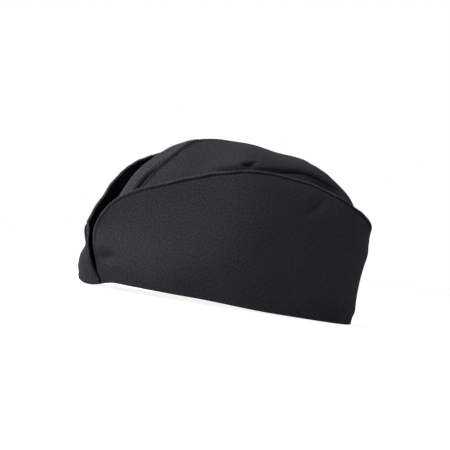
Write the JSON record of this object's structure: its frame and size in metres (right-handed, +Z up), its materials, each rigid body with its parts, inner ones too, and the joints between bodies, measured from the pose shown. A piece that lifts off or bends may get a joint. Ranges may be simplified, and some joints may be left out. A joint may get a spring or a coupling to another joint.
{
  "type": "side cap",
  "caption": "Soft black kitchen side cap: a creased crown with a sunk top strip, between two stiffened curtains that fold out from the hem.",
  "frame": {"origin": "centre of the head opening, on the plane that the hem rests on", "axes": "-X is the front of the cap, -Y the wearer's left, +Z up through the crown"},
  "size_m": [0.2267, 0.1776, 0.1183],
  "materials": {
    "curtain_twill": "black cotton twill",
    "crown_twill": "black cotton twill",
    "edge_roll": "black twill, rolled and stitched",
    "interlining": "stiff grey woven interlining",
    "sweatband": "brushed black cotton",
    "binding": "black bias binding",
    "tape": "black plain-weave tape",
    "elastic": "black braided elastic"
  },
  "bodies": {
    "cap": {"hem_binding": "binding", "crown_left_panel": "crown_twill", "crown_right_panel": "crown_twill", "crown_top_strip": "crown_twill", "crown_left_seam_tape": "tape", "crown_right_seam_tape": "tape", "sweatband": "sweatband", "elastic_casing": "tape", "back_elastic": "elastic"},
    "left_curtain": {"left_curtain_outer": "curtain_twill", "left_curtain_interlining": "interlining", "left_curtain_facing": "curtain_twill", "left_curtain_roll": "edge_roll"},
    "right_curtain": {"right_curtain_outer": "curtain_twill", "right_curtain_interlining": "interlining", "right_curtain_facing": "curtain_twill", "right_curtain_roll": "edge_roll"}
  },
  "joints": [
    {"name": "left_curtain_fold", "type": "hinge", "parent": "cap", "child": "left_curtain", "pos_m": [0, -0.088, 0.0025], "axis": [1, 0, 0], "range_deg": [0, 12], "stiffness_Nm_per_rad": 0.05},
    {"name": "right_curtain_fold", "type": "hinge", "parent": "cap", "child": "right_curtain", "pos_m": [0, 0.088, 0.0025], "axis": [-1, 0, 0], "range_deg": [0, 12], "stiffness_Nm_per_rad": 0.05}
  ]
}
